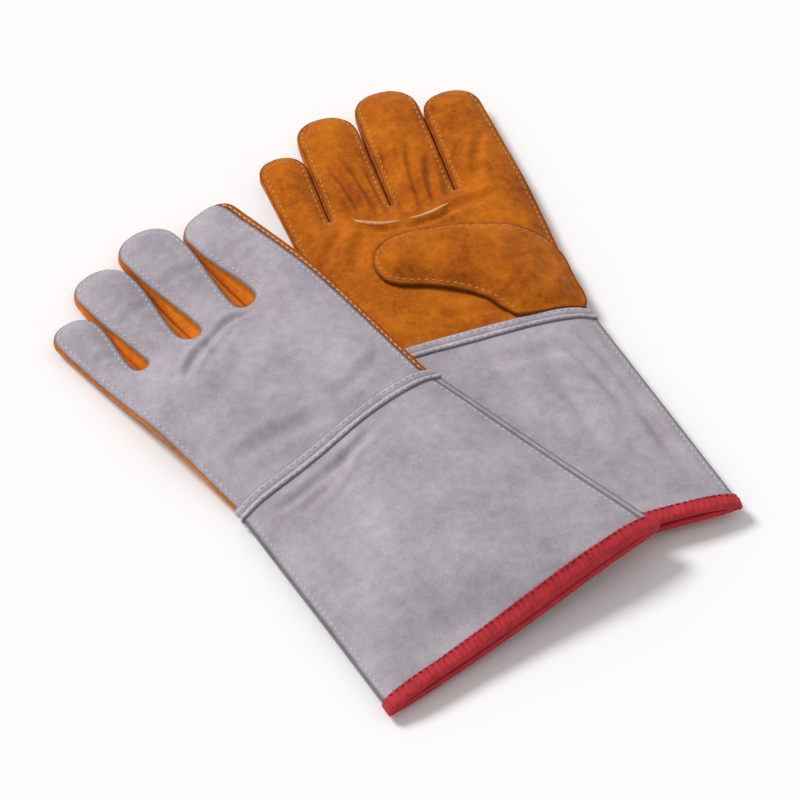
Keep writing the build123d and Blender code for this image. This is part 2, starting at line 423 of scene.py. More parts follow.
# palm of the right hand: folds that fan out from the bases of the stalls, and the seams across them
palmFolds = [
    (bowed((-34, 156), (-28, 99), 2.5), 2.2, 2.2),
    (bowed((-24, 150), (-18, 95), 2), 2.0, 1.8),
    (bowed((-12, 142), (-12, 94), -1), 2.2, 1.8),
    (bowed((3, 158), (-3, 94), -3), 2.3, 2.4),
    (bowed((15, 150), (6, 93), -2), 2.0, 1.8),
    (bowed((25, 142), (13, 94), -2), 2.2, 1.7),
    (bowed((-54, 148), (-34, 103), 3), 2.2, 1.5),
    (bowed((46, 142), (21, 97), -3), 2.8, 1.7),
    (bowed((60, 148), (40, 104), -2), 2.6, 1.1),
    (bowed((-38, 98), (-58, 70), -4), 3.2, 1.6),
    (bowed((-28, 90), (-46, 58), -4), 3.6, 1.3),
    (bowed((10, 88), (52, 94), 2), 3.4, 1.4),
    (bowed((-36, 98), (-8, 87), -3.5), 1.9, 1.8),
    (bowed((-8, 87), (22, 91), -2.5), 1.9, 1.7),
    (bowed((-60, 46), (-30, 22), 3), 4.0, 1.1),
    (bowed((-20, 14), (30, 8), 3), 3.2, 1.1),
    (bowed((-60, 96), (-62, 40), -2), 3.2, 0.9),
]


def handFolds(points, side, upper):
    out = np.zeros(len(points))
    if upper:
        for line, width, depth in backFolds if side == "left" else palmFolds:
            out += fold(points, line, width, depth)
        out += 0.55 * waves(points, 24, 1.0 if side == "left" else 2.0)
        out += 0.22 * waves(points, 9, 3.0)
    else:
        out += 0.25 * waves(points, 20, 5.0)
    return out


def handBody(side):
    # both sheets and the strip between them as one soft form, z to the back of the hand
    backFlat, backFaces, backLine, kinds = sheetMesh(True)
    palmFlat, palmFaces, palmLine, kinds = sheetMesh(False)
    walls = wallHeight(kinds)
    backUp = side == "left"
    zBack, gapBack = handHeight(backFlat, backLine, walls, backUp)
    zPalm, gapPalm = handHeight(palmFlat, palmLine, walls, not backUp)
    sag = hand["sag"] * (-1 if backUp else 1)
    zBack = zBack + sag * np.exp(-gapBack / hand["sagReach"])
    zPalm = -zPalm + sag * np.exp(-gapPalm / hand["sagReach"])
    top = np.column_stack([backFlat, zBack])
    low = np.column_stack([palmFlat, zPalm])
    n = len(backLine)
    rows = [np.arange(n)]
    wallVerts = []
    count = len(top) + len(low)
    inSlit = (kinds == "slit")[:, None]
    for t in (0.25, 0.5, 0.75):
        row = mixed(top[:n], low[:n], t)
        # the strips between the fingers lean together and close each slit at half its height
        leaning = min(1.0, t * 2)
        row[:, :2] = np.where(inSlit, mixed(top[:n, :2], low[:n, :2], leaning), row[:, :2])
        wallVerts.append(row)
        rows.append(count + np.arange(n))
        count += n
    rows.append(len(top) + np.arange(n))
    verts = np.vstack([top, low] + wallVerts)
    # 1 on the back's sheet, -1 on the palm's, and between them on the wall
    counts = (len(top), len(low), n, n, n)
    upness = np.repeat((1.0, -1.0, 0.5, 0.0, -0.5), counts)
    faces, tags = [], []
    wrap = wrapLine(backLine)
    for f in backFaces:
        m = backFlat[f].mean(0)
        layer = 1 if m[0] > np.interp(m[1], wrap[:, 1], wrap[:, 0]) and m[1] < wrap[-1, 1] else 0
        faces.append(tuple(f))
        tags.append(regionOf(*m) * 3 + layer)
    for f in palmFaces:
        m = palmFlat[f].mean(0)
        faces.append(tuple(len(top) + k for k in f[::-1]))
        tags.append(regionOf(*m) * 3 + 1)
    for k in range(n):
        if kinds[k] == "wrist":
            continue
        j = (k + 1) % n
        m = (palmLine[k] + palmLine[j]) / 2
        for a, b in zip(rows[:-1], rows[1:]):
            faces.append((a[k], a[j], b[j], b[k]))
            tags.append(regionOf(*m) * 3 + 2)
    return verts, faces, np.array(tags), upness


def refined(verts, faces, tags, upness):
    # one smooth subdivision, with each face's tag and each point's upness carried over
    mesh = bpy.data.meshes.new("form")
    mesh.from_pydata([tuple(v) for v in verts], [], faces)
    mesh.polygons.foreach_set("material_index", tags.astype(np.int32))
    up = mesh.attributes.new("upness", "FLOAT", "POINT")
    up.data.foreach_set("value", upness.astype(np.float32))
    obj = bpy.data.objects.new("form", mesh)
    bpy.context.collection.objects.link(obj)
    sub = obj.modifiers.new("sub", "SUBSURF")
    sub.levels = sub.render_levels = 1
    made = obj.evaluated_get(bpy.context.evaluated_depsgraph_get()).to_mesh()
    co = np.empty(len(made.vertices) * 3)
    made.vertices.foreach_get("co", co)
    value = np.empty(len(made.vertices))
    made.attributes["upness"].data.foreach_get("value", value)
    tag = np.empty(len(made.polygons), np.int32)
    made.polygons.foreach_get("material_index", tag)
    loops = np.empty(len(made.loops), np.int32)
    made.loops.foreach_get("vertex_index", loops)
    starts = np.empty(len(made.polygons), np.int32)
    made.polygons.foreach_get("loop_start", starts)
    quads = [loops[a:b] for a, b in zip(starts, list(starts[1:]) + [len(loops)])]
    obj.evaluated_get(bpy.context.evaluated_depsgraph_get()).to_mesh_clear()
    bpy.data.objects.remove(obj)
    bpy.data.meshes.remove(mesh)
    return co.reshape(-1, 3), np.array(quads), tag, value


def normalsOf(verts, quads):
    out = np.zeros_like(verts)
    a, b, c, d = (verts[quads[:, k]] for k in range(4))
    n = np.cross(c - a, d - b)
    for k in range(4):
        np.add.at(out, quads[:, k], n)
    return out / np.maximum(np.linalg.norm(out, axis=1), 1e-9)[:, None]


def moved(place, verts):
    m = np.array(place)
    return verts @ m[:3, :3].T + m[:3, 3]


def turnedOver(verts, quads):
    # the right glove lies on its back, so its form is mirrored in z and its faces turned round
    return verts * (1, 1, -1), quads[:, ::-1]


def setPlaces(mesh, places, seams):
    # where each point was cut, which patterns follow, and how far it is from a seam, in metres
    made = mesh.attributes.new("place", "FLOAT_VECTOR", "POINT")
    made.data.foreach_set("vector", places.astype(np.float32).ravel())
    made = mesh.attributes.new("seam", "FLOAT", "POINT")
    made.data.foreach_set("value", seams.astype(np.float32))


def leatherPiece(name, verts, quads, normals, local, seam, thickness):
    # a sheet with an inner face and closed edges; local is where each point lay before draping
    used = np.unique(quads)
    index = np.full(len(verts), -1)
    index[used] = np.arange(len(used))
    q = index[quads]
    v, n, l = verts[used], normals[used], local[used]
    inner = v - n * thickness
    count = len(v)
    edgeKey = {}
    for f in q:
        for k in range(4):
            a, b = int(f[k]), int(f[(k + 1) % 4])
            edgeKey[(a, b)] = edgeKey.get((a, b), 0) + 1
    rim = [(a, b) for (a, b) in edgeKey if (b, a) not in edgeKey]
    faces = [tuple(int(i) for i in f) for f in q]
    faces += [tuple(int(i) + count for i in f[::-1]) for f in q]
    faces += [(b, a, a + count, b + count) for a, b in rim]
    mesh = bpy.data.meshes.new(name)
    mesh.from_pydata([tuple(p) for p in np.vstack([v, inner]) * mm], [], faces)
    mesh.update()
    # the left glove is cut from another part of the hide
    shift = (0.4, 0.1, 0) if name.startswith("left") else (0, 0, 0)
    setPlaces(mesh, np.vstack([l, l]) * mm + shift, np.concatenate([seam[used]] * 2) * mm)
    mesh.polygons.foreach_set("use_smooth", np.ones(len(faces), bool))
    both = np.vstack([n, -n])
    loopNormals = []
    for k, f in enumerate(faces):
        if k < 2 * len(q):
            loopNormals += [tuple(both[i]) for i in f]
        else:
            flat = mesh.polygons[k].normal
            loopNormals += [tuple(flat)] * 4
    mesh.normals_split_custom_set(loopNormals)
    obj = bpy.data.objects.new(name, mesh)
    bpy.context.collection.objects.link(obj)
    return obj


# the way the upper glove lies on the lower one
heightStep = 3.0
heightMin = np.array([-170.0, -220.0])
heightSize = (120, 150)


def heightMap(clouds):
    # the highest point in each cell of the plan
    top = np.zeros(heightSize)
    for points in clouds:
        k = np.floor((points[:, :2] - heightMin) / heightStep).astype(int)
        ok = (k >= 0).all(1) & (k < np.array(heightSize)).all(1)
        np.maximum.at(top, (k[ok, 0], k[ok, 1]), points[ok, 2])
    return top


def softened(field, widen, blur):
    for _ in range(widen):
        beside = [np.roll(field, s, axis) for axis in (0, 1) for s in (1, -1)]
        field = np.maximum.reduce([field, *beside])
    for _ in range(blur):
        for axis in (0, 1):
            field = (np.roll(field, 1, axis) + 2 * field + np.roll(field, -1, axis)) / 4
    return field


def heightAt(field, points):
    p = (points[:, :2] - heightMin) / heightStep - 0.5
    k = np.clip(np.floor(p).astype(int), 0, np.array(heightSize) - 2)
    f = np.clip(p - k, 0, 1)
    a = field[k[:, 0], k[:, 1]]
    b = field[k[:, 0] + 1, k[:, 1]]
    c = field[k[:, 0], k[:, 1] + 1]
    d = field[k[:, 0] + 1, k[:, 1] + 1]
    return mixed(mixed(a, b, f[:, 0]), mixed(c, d, f[:, 0]), f[:, 1])


# a form is one glove's hand, cuff or thumb before it is cut into pieces of leather
def handForm(side):
    verts, quads, tags, upness = refined(*handBody(side))
    local = verts.copy()
    backUp = side == "left"
    soft = smooth(distanceTo(verts[:, :2], openLine(handOutline(backUp)[0]))[0] / 7)
    for up in (True, False):
        pick = upness > 0.55 if up == backUp else upness < -0.55
        move = handFolds(verts[pick, :2], side, up) * soft[pick]
        verts[pick, 2] += move * (1 if (up == backUp) else -1)
    if side == "right":
        verts, quads = turnedOver(verts, quads)
        local = local * (1, 1, -1)
    backLine, palmLine = (openLine(handOutline(b)[0]) for b in (True, False))
    onBack = distanceTo(local[:, :2], backLine)[0]
    onBack = np.minimum(onBack, distanceTo(local[:, :2], wrapLine(handOutline(True)[0]))[0])
    onPalm = distanceTo(local[:, :2], palmLine)[0]
    onWall = 4 * (1 - np.abs(upness))
    seam = np.where(upness > 0.9, onBack, np.where(upness < -0.9, onPalm, onWall))
    return dict(verts=verts, quads=quads, tags=tags, local=local, seam=seam)


# cuffs
cuff = dict(
    length=158.0,
    wrist=66.5,
    hem=91.5,
    crown=7.0,
    hemCrown=4.0,
    seam=1.5,
    flange=2.2,
    wrap=4.5,
    sag=2.4,
    sagReach=12,
    folding=1.4,
    across=96,
    along=80,
)


def cuffHalf(y):
    return mixed(cuff["wrist"], cuff["hem"], -y / cuff["length"])


cuffFolds = {
    "left": [
        (bowed((-66, -17), (30, -13), -3), 2.6, 1.7),
        (bowed((-48, -26), (4, -14), -4), 3.2, 1.2),
        (bowed((-20, -60), (40, -70), 6), 12.0, 0.9),
        (bowed((-70, -70), (-40, -130), 8), 11.0, 0.8),
        (bowed((30, -100), (70, -140), -8), 12.0, 0.8),
        (bowed((-60, -140), (0, -148), 3), 8.0, 0.7),
    ],
    "right": [
        (bowed((38, -12), (60, -94), 4), 3.6, 2.3),
        (bowed((48, -8), (70, -124), 5), 3.8, 1.9),
        (bowed((24, -14), (36, -112), 3), 5.0, 1.5),
        (bowed((-2, -12), (8, -70), 2), 5.0, 1.1),
        (bowed((58, -64), (76, -146), 3), 4.4, 1.4),
        (bowed((30, -30), (56, -62), -4), 3.4, 1.3),
        (bowed((-10, -20), (50, -26), -3), 4.5, 1.0),
    ],
}


def cuffHeight(points, side, upper):
    half = cuffHalf(points[:, 1])
    gap = half - np.abs(points[:, 0])
    crown = mixed(cuff["crown"], cuff["hemCrown"], smooth(-points[:, 1] / cuff["length"]))
    rise = 1 - np.exp(-np.maximum(gap - cuff["flange"], 0) / (11.0 if upper else 6.0))
    z = cuff["seam"] + (crown - cuff["seam"]) * rise
    if upper:
        move = np.zeros(len(points))
        for line, width, depth in cuffFolds[side]:
            move += fold(points, line, width, depth * cuff["folding"], 0.35)
        broad = waves(points, 42, 8.0 if side == "left" else 9.0)
        move += 1.1 * broad + 0.3 * waves(points, 14, 4.0)
        ends = smooth(-points[:, 1] / 8) * smooth((cuff["length"] + points[:, 1]) / 10)
        z = z + move * (ends * smooth(gap / 10))
    else:
        z = z + 0.3 * waves(points, 30, 6.0) * smooth(gap / 10)
    return z, gap


def cuffSection(side, line):
    # how far back and palm stand from the middle plane along a line, and how far both sag there
    backUp = side == "left"
    zBack, gap = cuffHeight(line, side, backUp)
    zPalm, _ = cuffHeight(line, side, not backUp)
    return zBack, zPalm, cuff["sag"] * (-1 if backUp else 1) * np.exp(-gap / cuff["sagReach"])


def ringQuads(rings, count):
    # the faces between neighbouring closed rings of points
    k = np.arange(count)
    m = (k + 1) % count
    one = np.column_stack([k, k + count, m + count, m])
    return np.vstack([one + j * count for j in range(rings - 1)])


def cuffForm(side):
    # one ring for each row along the cuff: back, thumb side's strip, palm, the other side's strip
    nu, nv = cuff["across"], cuff["along"]
    wrap = cuff["wrap"]
    rows = []
    wallShares = (0.25, 0.5, 0.75)
    for j in range(nv + 1):
        y = -cuff["length"] * j / nv
        half = float(cuffHalf(y))
        # the thumb side's palm leather wraps on to the back as far as a fixed step from the edge
        inner = np.linspace(-half * 0.985, half - wrap, nu - 2)
        x = np.concatenate([[-half], inner, [half - wrap * 0.45, half]])
        line = np.column_stack([x, np.full(len(x), y)])
        zBack, zPalm, sag = cuffSection(side, line)
        top = np.column_stack([line, zBack + sag])
        low = np.column_stack([line, -zPalm + sag])
        right = [mixed(top[-1], low[-1], t) for t in wallShares]
        left = [mixed(low[0], top[0], t) for t in wallShares]
        rows.append(np.vstack([top, right, low[::-1], left]))
    n, walls = nu + 1, len(wallShares)
    verts = np.vstack(rows)
    quads = ringQuads(nv + 1, len(rows[0]))
    # 0 is the back's leather, 1 the palm's, which wraps round the thumb side, and 2 the side strips
    tags = np.tile(np.repeat((0, 1, 2, 1, 2), (n - 3, 2, walls + 1, n - 1, walls + 1)), nv)
    onBack = np.tile(np.arange(len(rows[0])) < n, nv + 1)
    local = verts.copy()
    gap = cuffHalf(local[:, 1]) - np.abs(local[:, 0])
    seam = np.where((local[:, 0] > 0) & onBack, np.minimum(gap, np.abs(gap - wrap)), gap)
    if side == "right":
        verts, quads = turnedOver(verts, quads)
        local = local * (1, 1, -1)
    return dict(verts=verts, quads=quads, tags=tags, local=local, seam=seam)


def lengthsAlong(points):
    return np.concatenate([[0], np.cumsum(np.hypot(*np.diff(points, axis=0).T))])


def ringAt(side, y, count):
    # the cuff's section at y as evenly spaced points, with outward directions and its whole length
    half = float(cuffHalf(y))
    xs = np.sin(np.linspace(-math.pi / 2, math.pi / 2, 161)) * half
    zBack, zPalm, sag = cuffSection(side, np.column_stack([xs, np.full(len(xs), y)]))
    low = np.column_stack([xs, -zPalm + sag])[::-1]
    loop = np.vstack([np.column_stack([xs, zBack + sag]), low])
    loop = np.vstack([loop, loop[:1]])
    run = lengthsAlong(loop)
    at = np.linspace(0, run[-1], count, endpoint=False)
    x, z = np.interp(at, run, loop[:, 0]), np.interp(at, run, loop[:, 1])
    tx = np.roll(x, -2) - np.roll(x, 2)
    tz = np.roll(z, -2) - np.roll(z, 2)
    size = np.maximum(np.hypot(tx, tz), 1e-9)
    outward = np.column_stack([-tz / size, np.zeros(count), tx / size])
    return np.column_stack([x, np.full(count, y), z]), outward, run[-1]


unseamed = 9.0  # a distance to the seam that is too long to shade anything


def bandForm(side, rows, count, rib=None):
    # a band round the cuff: rows are (y, stand off the leather), rib is (spacing, height)
    verts, perimeter = [], 0
    for y, off in rows:
        ring, out, perimeter = ringAt(side, max(min(y, -0.01), -cuff["length"]), count)
        stand = np.full(count, float(off))
        share = np.arange(count) / count
        if rib and off > 0.6:
            stand = stand + rib[1] * np.sin(share * round(perimeter / rib[0]) * 2 * math.pi)
        ring = ring + out * stand[:, None]
        ring[:, 1] = y
        verts.append(ring)
    verts = np.vstack(verts)
    quads = ringQuads(len(rows), count)
    local = verts.copy()
    local[:, 0] = np.tile(share * perimeter, len(rows))
    if side == "right":
        verts, quads = turnedOver(verts, quads)
    seam = np.full(len(verts), unseamed)
    if rib is None:
        # a plain strip is shaded along its two edges and its sewn groove
        y, first, last = local[:, 1], rows[0][0], rows[-1][0]
        seam = np.minimum.reduce([first - y, y - last, np.abs(y - (first + last) / 2) + 0.35])
    return dict(verts=verts, quads=quads, tags=np.zeros(len(quads), int), local=local, seam=seam)


wristStrip = dict(width=8.8, stand=1.1, top=1.6, points=220)
binding = dict(width=8.8, stand=1.2, ribs=3.4, ribHeight=0.3, past=1.3, inner=-3.0, points=620)


def stripRows():
    w, s, top = wristStrip["width"], wristStrip["stand"], wristStrip["top"]
    return [
        (top, -0.2),
        (top - 0.2, s * 0.7),
        (top - 1.0, s * 1.2),
        (top - 2.2, s * 1.3),
        (top - 3.2, s * 1.0),
        (top - w * 0.53, s * 0.35),
        (top - w + 2.6, s * 1.0),
        (top - w + 1.6, s * 1.3),
        (top - w + 0.6, s * 1.1),
        (top - w + 0.1, s * 0.6),
        (top - w, -0.2),
    ]


def bindingRows():
    end, inner = -cuff["length"] - binding["past"], binding["inner"]
    w, s = binding["width"], binding["stand"]
    return [
        (end + w, -0.1),
        (end + w - 0.2, s * 0.75),
        (end + w - 1.2, s),
        (end + w - 2.6, s * 0.8),
        (end + w * 0.5, s * 1.1),
        (end + 2.2, s * 1.1),
        (end + 0.7, s * 0.9),
        (end, s * 0.2),
        (end - 0.2, inner * 0.4),
        (end + 0.5, inner * 0.9),
        (end + 2, inner),
        (end + w * 0.7, inner),
        (end + w * 0.7 + 0.1, inner * 0.75),
    ]


fleece = dict(below=1.75, inFromEdge=2.4, mouth=3.0, rows=62, across=90)


def liningForm(side):
    # a flat sleeve just inside the leather, with some thickness even where a fold presses it flat
    nu = fleece["across"]
    share = np.sin(np.linspace(-math.pi / 2, math.pi / 2, nu))
    verts = []
    for y in np.linspace(-4, fleece["mouth"] - cuff["length"], fleece["rows"]):
        xs = share * (float(cuffHalf(y)) - fleece["inFromEdge"])
        line = np.column_stack([xs, np.full(nu, y)])
        zBack, zPalm, sag = cuffSection(side, line)
        middle = (zBack - zPalm) / 2 + sag
        half = np.maximum((zBack + zPalm) / 2 - fleece["below"], 0.02)
        half = half * np.sqrt(np.maximum(1 - share**6, 0.0))
        low = np.column_stack([line, middle - half])[-2:0:-1]
        verts.append(np.vstack([np.column_stack([line, middle + half]), low]))
    quads = ringQuads(len(verts), len(verts[0]))
    verts = np.vstack(verts)
    local = verts.copy()
    if side == "right":
        verts, quads = turnedOver(verts, quads)
    tags, seam = np.zeros(len(quads), int), np.full(len(verts), unseamed)
    return dict(verts=verts, quads=quads, tags=tags, local=local, seam=seam)


# thumbs: a padded lobe on each palm
rightLobe = [(66, 4), (67.5, 26), (66, 50), (50, 65), (30, 72.5), (6, 78), (-16, 79.5), (-29, 75)]
rightLobe += [(-36, 64), (-35, 52), (-28, 44.5), (-10, 36.5), (4, 28), (14, 18), (21, 8)]
rightLobe += [(26, 1.5), (46, 1)]
leftLobe = [(34, 24), (38, 38), (34, 54), (20, 62.5), (-4, 71), (-26, 79.5), (-42, 81), (-51, 73)]
leftLobe += [(-51, 62), (-43, 52.5), (-22, 43.5), (-4, 35), (8, 24), (20, 20)]
thumbs = {
    "right": dict(outline=rightLobe, swell=8.6, root=(56, 24)),
    "left": dict(outline=leftLobe, swell=5.0, root=(24, 40)),
}
lobe = dict(lift=0.7, flange=2.6, wall=2.4, edge=2.4, grid=2.5, blendRun=(-30, 16))
thumbFolds = [
    (bowed((46, 58), (30, 30), 4), 4.0, 1.3),
    (bowed((56, 44), (40, 14), 5), 4.0, 1.0),
    (bowed((26, 62), (10, 50), 2), 5.0, 0.6),
    (bowed((-24, 62), (8, 54), 3), 5.0, 0.5),
]


def roundedLoop(points, spacing):
    # an even, smooth closed line through given points
    p = np.array(points, float)
    out = []
    n = len(p)
    for k in range(n):
        a, b, c, d = p[k - 1], p[k], p[(k + 1) % n], p[(k + 2) % n]
        square, cube = 2 * a - 5 * b + 4 * c - d, 3 * b - a - 3 * c + d
        for t in np.linspace(0, 1, 24, endpoint=False):
            out.append(0.5 * (2 * b + (c - a) * t + square * t**2 + cube * t**3))
    out = np.array(out + out[:1])
    run = lengthsAlong(out)
    count = round(run[-1] / spacing)
    at = np.linspace(0, run[-1], count, endpoint=False)
    return np.column_stack([np.interp(at, run, out[:, 0]), np.interp(at, run, out[:, 1])])


def palmHeight(points, side):
    # height of the palm's surface over the glove's middle plane, away from the back
    outline, kinds = handOutline(False)
    z, gap = handHeight(points, outline, wallHeight(kinds), side == "right")
    sag = hand["sag"] * np.exp(-gap / hand["sagReach"])
    if side == "right":
        return z + handFolds(points, side, True) * smooth(gap / 7) - sag
    return z + sag


def thumbLoop(side):
    # the lobe's seam, clockwise
    loop = roundedLoop(thumbs[side]["outline"], lobe["edge"])
    ahead = np.roll(loop, -1, 0)
    return loop[::-1] if np.sum(loop[:, 0] * ahead[:, 1] - ahead[:, 0] * loop[:, 1]) > 0 else loop


def thumbForm(side):
    loop = thumbLoop(side)
    n = len(loop)
    step = lobe["grid"]
    grid = planGrid(np.arange(-56, 70, step), np.arange(-2, 90, step * 0.866), step, loop)
    closed = np.vstack([loop, loop[:1]])
    grid = grid[distanceTo(grid, closed)[0] > step * 0.55]
    edges = [(k, (k + 1) % n) for k in range(n)]
    flat, faces = planTriangles(np.vstack([loop, grid]), edges, loop)
    gap = distanceTo(flat, closed)[0]
    base = palmHeight(flat, side)
    # the lobe sinks into the palm towards its root on the thumb side
    rootward = smooth((flat[:, 0] - 22) / 44) if side == "right" else np.zeros(len(flat))
    base = base + lobe["lift"] - rootward * 1.0
    swell = thumbs[side]["swell"] * (1 - 0.72 * rootward)
    # the tip stays full, so a nearly even height runs along the lobe
    rise = 1 - np.exp(-np.maximum(gap - lobe["flange"], 0) / 5.5)
    up = base + lobe["wall"] * (1 - 0.5 * rootward) + swell * rise
    if side == "right":
        for line, width, depth in thumbFolds:
            up += fold(flat, line, width, depth)
        up += 0.7 * waves(flat, 22, 11.0) * smooth(gap / 6)
    top = np.column_stack([flat, up])
    under = np.column_stack([flat, base])
    rows = [np.arange(n)]
    count = 2 * len(flat)
    wallVerts = []
    for s in (0.33, 0.67):
        wallVerts.append(mixed(top[:n], under[:n], s))
        rows.append(count + np.arange(n))
        count += n
    rows.append(len(flat) + np.arange(n))
    verts = np.vstack([top, under] + wallVerts)
    quads = [tuple(f) for f in faces] + [tuple(len(flat) + k for k in f[::-1]) for f in faces]
    tags = [0] * len(faces) + [1] * len(faces)
    for k in range(n):
        j = (k + 1) % n
        for r, q in zip(rows[:-1], rows[1:]):
            quads.append((r[k], r[j], q[j], q[k]))
            tags.append(2)
    verts, quads, tags, _ = refined(verts, quads, np.array(tags), np.zeros(len(verts)))
    # z was measured away from the palm, which faces away from the back of the hand
    verts, quads = turnedOver(verts, quads)
    local = verts.copy()
    seam = distanceTo(local[:, :2], closed)[0]
    if side == "right":
        verts, quads = turnedOver(verts, quads)
    return dict(verts=verts, quads=quads, tags=tags, local=local, seam=seam)


# forms in place: the right glove as the frame has it, the left one draped over it
drape = dict(clear=0.7, thumbUnder=8.6, widen=9, blur=60)
forms = {}


def addForms(side):
    forms[side, "hand"] = handForm(side)
    forms[side, "cuff"] = cuffForm(side)
    forms[side, "thumb"] = thumbForm(side)
    forms[side, "strip"] = bandForm(side, stripRows(), wristStrip["points"])
    rib = (binding["ribs"], binding["ribHeight"])
    forms[side, "binding"] = bandForm(side, bindingRows(), binding["points"], rib)
    forms[side, "lining"] = liningForm(side)


addForms("right")
for form in forms.values():
    form["verts"] = moved(rightPlace, form["verts"])
print("right glove formed")

under = ("hand", "cuff", "strip", "binding")
support = heightMap([forms["right", part]["verts"] for part in under])
thumbPlan = np.array(roundedLoop(thumbs["left"]["outline"], 3.0))
thumbPlan = moved(leftPlace, np.column_stack([thumbPlan, np.zeros(len(thumbPlan))]))
axes = [heightMin[k] + (np.arange(heightSize[k]) + 0.5) * heightStep for k in (0, 1)]
cells = np.stack(np.meshgrid(*axes, indexing="ij"), -1).reshape(-1, 2)
underThumb = insideOf(cells, thumbPlan[:, :2]).reshape(heightSize)
support = np.where(underThumb, np.maximum(support, drape["thumbUnder"]), support)
support = softened(support, drape["widen"], drape["blur"])


def drapedLeft(cuffPart, points):
    # the middle plane follows what lies under it; the leather's own height stands on that
    place = leftCuffPlace if cuffPart else leftPlace
    flat = moved(place, points * (1, 1, 0))
    middle = hand["crown"] + drape["clear"] + heightAt(support, flat)
    return np.column_stack([flat[:, :2], middle + points[:, 2]])


addForms("left")
for (side, part), form in forms.items():
    if side == "left":
        form["verts"] = drapedLeft(part not in ("hand", "thumb"), form["verts"])
    form["normals"] = normalsOf(form["verts"], form["quads"])
print("left glove draped")

# pieces
pieces = {}
thickness = dict(hand=1.25, cuff=1.25, thumb=0.9, strip=0.8, binding=0.5, lining=0.25)


def standsFor(nodes):
    if nodes:
        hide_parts(*nodes)


def ridesOn(obj, body, nodes):
    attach(obj, body)
    standsFor(nodes)


def blended(obj, side, region, nodes):
    # the piece is baked where it lies and the nodes it stands for are hidden; for a stall the line
    # along it, across its curl joint's axis, is worked out but not used
    if region == "thumb":
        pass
    else:
        joint = jointOf(f"{side}_{region}_curl")
        along = Vector(joint["axis"]).cross(Vector((0, 0, 1)))
        along = (along if along.y > 0 else -along).normalized()
    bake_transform(obj)
    standsFor(nodes)


def pieceOf(side, part, tag, name):
    form = forms[side, part]
    quads = form["quads"][form["tags"] == tag]
    rest = (form["normals"], form["local"], form["seam"], thickness[part])
    return leatherPiece(f"{side}_{name}", form["verts"], quads, *rest)


grey, golden, pale = "grey_split_leather", "golden_cowhide", "pale_split_leather"
# for each layer: its name, its slot, and the nodes of the hand and of a stall that it stands for
handLayers = (
    ("back", grey, ("hand_back", "hand_lining"), ("back", "lining")),
    ("palm", golden, ("hand_palm", "crotch_gussets"), ("palm",)),
    ("fourchette", golden, ("hand_side_welts",), ("fourchette",)),
)
cuffLayers = (("back", grey, "back"), ("palm", grey, "palm"), ("edge", pale, "side_welts"))
thumbLayers = (("outer", "outer"), ("inner", "inner"), ("wall", "gusset"))
bands = (
    ("strip", "wrist_strip_leather", pale, "wrist_strip"),
    ("binding", "hem_tape", "red_binding", "hem_binding"),
    ("lining", "cuff_fleece", "cotton_lining", "cuff_lining"),
)
for side in ("right", "left"):
    for r, region in enumerate(regionNames):
        for k, (layer, slot, handNodes, stallNodes) in enumerate(handLayers):
            shown = "edge" if region == "hand" and layer == "fourchette" else layer
            obj = pieceOf(side, "hand", r * 3 + k, f"{region}_{shown}_leather")
            pieces[side, region, layer] = obj
            if region == "hand":
                ridesOn(obj, f"{side}_hand", [f"{side}_{n}" for n in handNodes])
            else:
                blended(obj, side, region, [f"{side}_{region}_{n}" for n in stallNodes])
    for k, (layer, slot, node) in enumerate(cuffLayers):
        obj = pieces[side, "cuff", layer] = pieceOf(side, "cuff", k, f"cuff_{layer}_leather")
        ridesOn(obj, f"{side}_hand", [f"{side}_cuff_{node}"])
    for k, (layer, node) in enumerate(thumbLayers):
        obj = pieces[side, "thumb", layer] = pieceOf(side, "thumb", k, f"thumb_{layer}_leather")
        blended(obj, side, "thumb", [f"{side}_thumb_{node}"])
    for part, name, slot, node in bands:
        obj = pieces[side, part] = pieceOf(side, part, 0, name)
        ridesOn(obj, f"{side}_hand", [f"{side}_{node}"])
print("leather pieces made", len(pieces))

# stitches: short raised threads along the seams
thread = dict(
    inset=3.0,
    pitch=4.0,
    long=2.7,
    thick=0.75,
    sides=5,
    wrapInset=2.6,
    cuffInset=2.4,
    thumbInset=2.8,
    strip=(-0.4, -5.4),
    stripHalf=64.5,
    hem=6.3,
    hemHalf=88.0,
    facing=0.35,
    lift=0.05,
)
above = 200  # higher than anything in the scene, so that rays start outside


def evenPath(points, pitch):
    # points at an even pitch along a line, and which way it runs at each
    run = lengthsAlong(points)
    at = np.arange(pitch / 2, run[-1], pitch)

    def pointsAt(where):
        return np.column_stack([np.interp(where, run, points[:, k]) for k in (0, 1)])

    return pointsAt(at), pointsAt(at + 1) - pointsAt(at - 1)


def insetOf(points, gap):
    # the line beside an open outline that runs clockwise
    run = np.roll(points, -1, 0) - np.roll(points, 1, 0)
    run[0], run[-1] = points[1] - points[0], points[-1] - points[-2]
    side = np.column_stack([run[:, 1], -run[:, 0]]) / np.maximum(np.hypot(*run.T), 1e-9)[:, None]
    return points + side * gap


def stitchMesh(name, seats):
    # each stitch is a short spindle, half sunk in the leather
    verts, faces = [], []
    r, half, sides = thread["thick"] / 2, thread["long"] / 2, thread["sides"]
    for at, along, up in seats:
        side = np.cross(up, along)
        first = len(verts)
        verts.append(at - along * half - up * r * 0.8)
        for s in (-0.62, 0.62):
            for k in range(sides):
                a = 2 * math.pi * k / sides
                rise = up * r * 0.8 * math.cos(a)
                verts.append(at + along * half * s + side * r * math.sin(a) + rise)
        verts.append(at + along * half - up * r * 0.8)
        near, far = first + 1, first + 1 + sides
        for k in range(sides):
            m = (k + 1) % sides
            faces.append((first, near + m, near + k))
            faces.append((near + k, near + m, far + m, far + k))
            faces.append((far + k, far + m, far + sides))
    return smoothObject(name, [v * mm for v in verts], faces)


